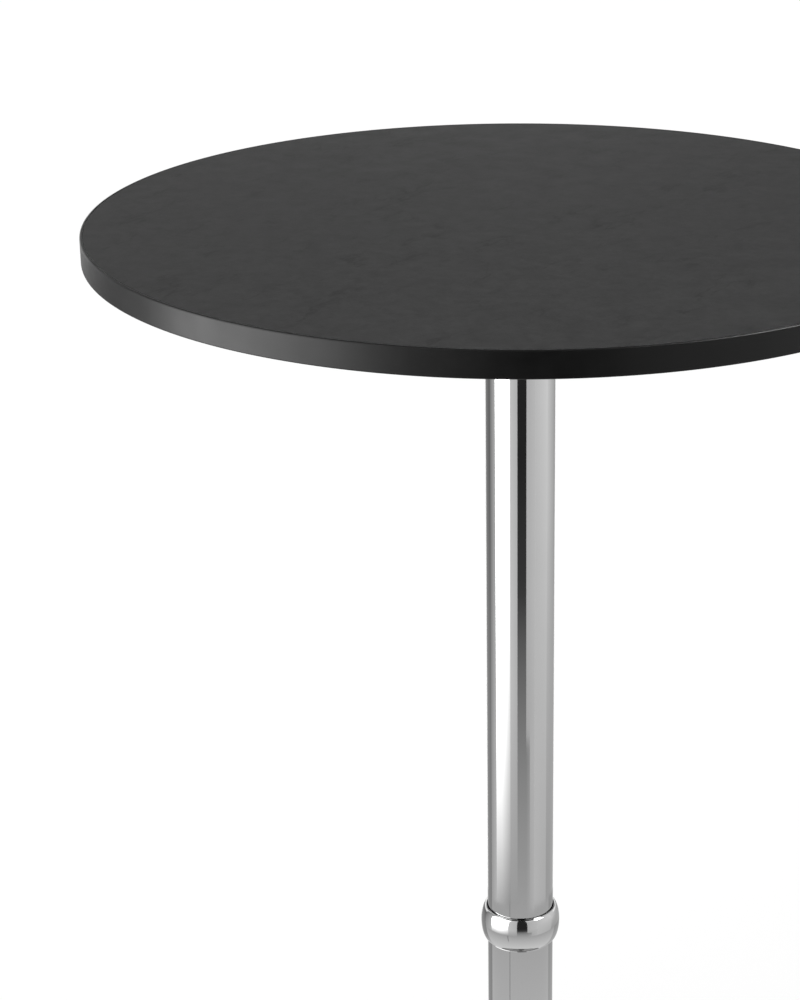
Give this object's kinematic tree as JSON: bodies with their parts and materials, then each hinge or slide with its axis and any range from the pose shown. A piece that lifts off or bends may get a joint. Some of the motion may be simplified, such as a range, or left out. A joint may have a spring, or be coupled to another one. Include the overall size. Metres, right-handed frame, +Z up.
{
  "type": "pub table",
  "caption": "Round bar-height pedestal table: dark laminate top, two-part chromed column with a rounded joint collar, and a weighted trumpet base on levelling glides.",
  "frame": {"origin": "centre of the table's footprint on the floor, under the column's axis", "axes": "+Z up along the column; the table is round, and -Y is taken as its front"},
  "size_m": [0.6, 0.6, 1.02],
  "materials": {
    "black_laminate": "charcoal black, fine satin",
    "edge_band": "black, smooth satin",
    "board_core": "bare fibreboard",
    "backing_laminate": "black, dull",
    "chrome": "bright polished plating",
    "black_steel": "fine-textured powder coat",
    "zinc_steel": "zinc plated",
    "raw_steel": "turned, oiled",
    "cast_weight": "sand-cast, black dip paint",
    "glide_nylon": "moulded nylon"
  },
  "bodies": {
    "table": {"tabletop_core": "board_core", "top_laminate": "black_laminate", "back_laminate": "backing_laminate", "edge_band": "edge_band", "insert_nuts": "zinc_steel", "support_cross": "black_steel", "support_washers": "zinc_steel", "support_screws": "zinc_steel", "support_hub": "black_steel", "head_bolt": "zinc_steel", "head_lock_washer": "zinc_steel", "upper_head_plug": "raw_steel", "upper_tube": "chrome", "upper_joint_plug": "raw_steel", "joint_collar": "chrome", "joint_stud": "zinc_steel", "lower_joint_plug": "raw_steel", "lower_tube": "chrome", "lower_foot_plug": "raw_steel", "neck_ring": "chrome", "base_cover": "chrome", "base_weight": "cast_weight", "base_bolt": "zinc_steel", "base_lock_washer": "zinc_steel", "base_washer": "zinc_steel"},
    "glide_pad_1": {"glide_pad_1": "glide_nylon"},
    "glide_stud_1": {"glide_stud_1": "zinc_steel"},
    "glide_pad_2": {"glide_pad_2": "glide_nylon"},
    "glide_stud_2": {"glide_stud_2": "zinc_steel"},
    "glide_pad_3": {"glide_pad_3": "glide_nylon"},
    "glide_stud_3": {"glide_stud_3": "zinc_steel"},
    "glide_pad_4": {"glide_pad_4": "glide_nylon"},
    "glide_stud_4": {"glide_stud_4": "zinc_steel"}
  },
  "joints": [
    {"name": "glide_1_travel", "type": "slide", "parent": "table", "child": "glide_pad_1", "axis": [0, 0, -1], "range_m": [0, 0.00501]},
    {"name": "glide_1_turn", "type": "hinge", "parent": "glide_pad_1", "child": "glide_stud_1", "pos_m": [0.12021, 0.12021, 0], "axis": [0, 0, -1], "range_deg": [0, 1440]},
    {"name": "glide_2_travel", "type": "slide", "parent": "table", "child": "glide_pad_2", "axis": [0, 0, -1], "range_m": [0, 0.00501]},
    {"name": "glide_2_turn", "type": "hinge", "parent": "glide_pad_2", "child": "glide_stud_2", "pos_m": [-0.12021, 0.12021, 0], "axis": [0, 0, -1], "range_deg": [0, 1440]},
    {"name": "glide_3_travel", "type": "slide", "parent": "table", "child": "glide_pad_3", "axis": [0, 0, -1], "range_m": [0, 0.00501]},
    {"name": "glide_3_turn", "type": "hinge", "parent": "glide_pad_3", "child": "glide_stud_3", "pos_m": [-0.12021, -0.12021, 0], "axis": [0, 0, -1], "range_deg": [0, 1440]},
    {"name": "glide_4_travel", "type": "slide", "parent": "table", "child": "glide_pad_4", "axis": [0, 0, -1], "range_m": [0, 0.00501]},
    {"name": "glide_4_turn", "type": "hinge", "parent": "glide_pad_4", "child": "glide_stud_4", "pos_m": [0.12021, -0.12021, 0], "axis": [0, 0, -1], "range_deg": [0, 1440]}
  ],
  "couplings": [
    {"joint": "glide_1_travel", "follows": "glide_1_turn", "m_per_rad": 0.00019894},
    {"joint": "glide_2_travel", "follows": "glide_2_turn", "m_per_rad": 0.00019894},
    {"joint": "glide_3_travel", "follows": "glide_3_turn", "m_per_rad": 0.00019894},
    {"joint": "glide_4_travel", "follows": "glide_4_turn", "m_per_rad": 0.00019894}
  ]
}
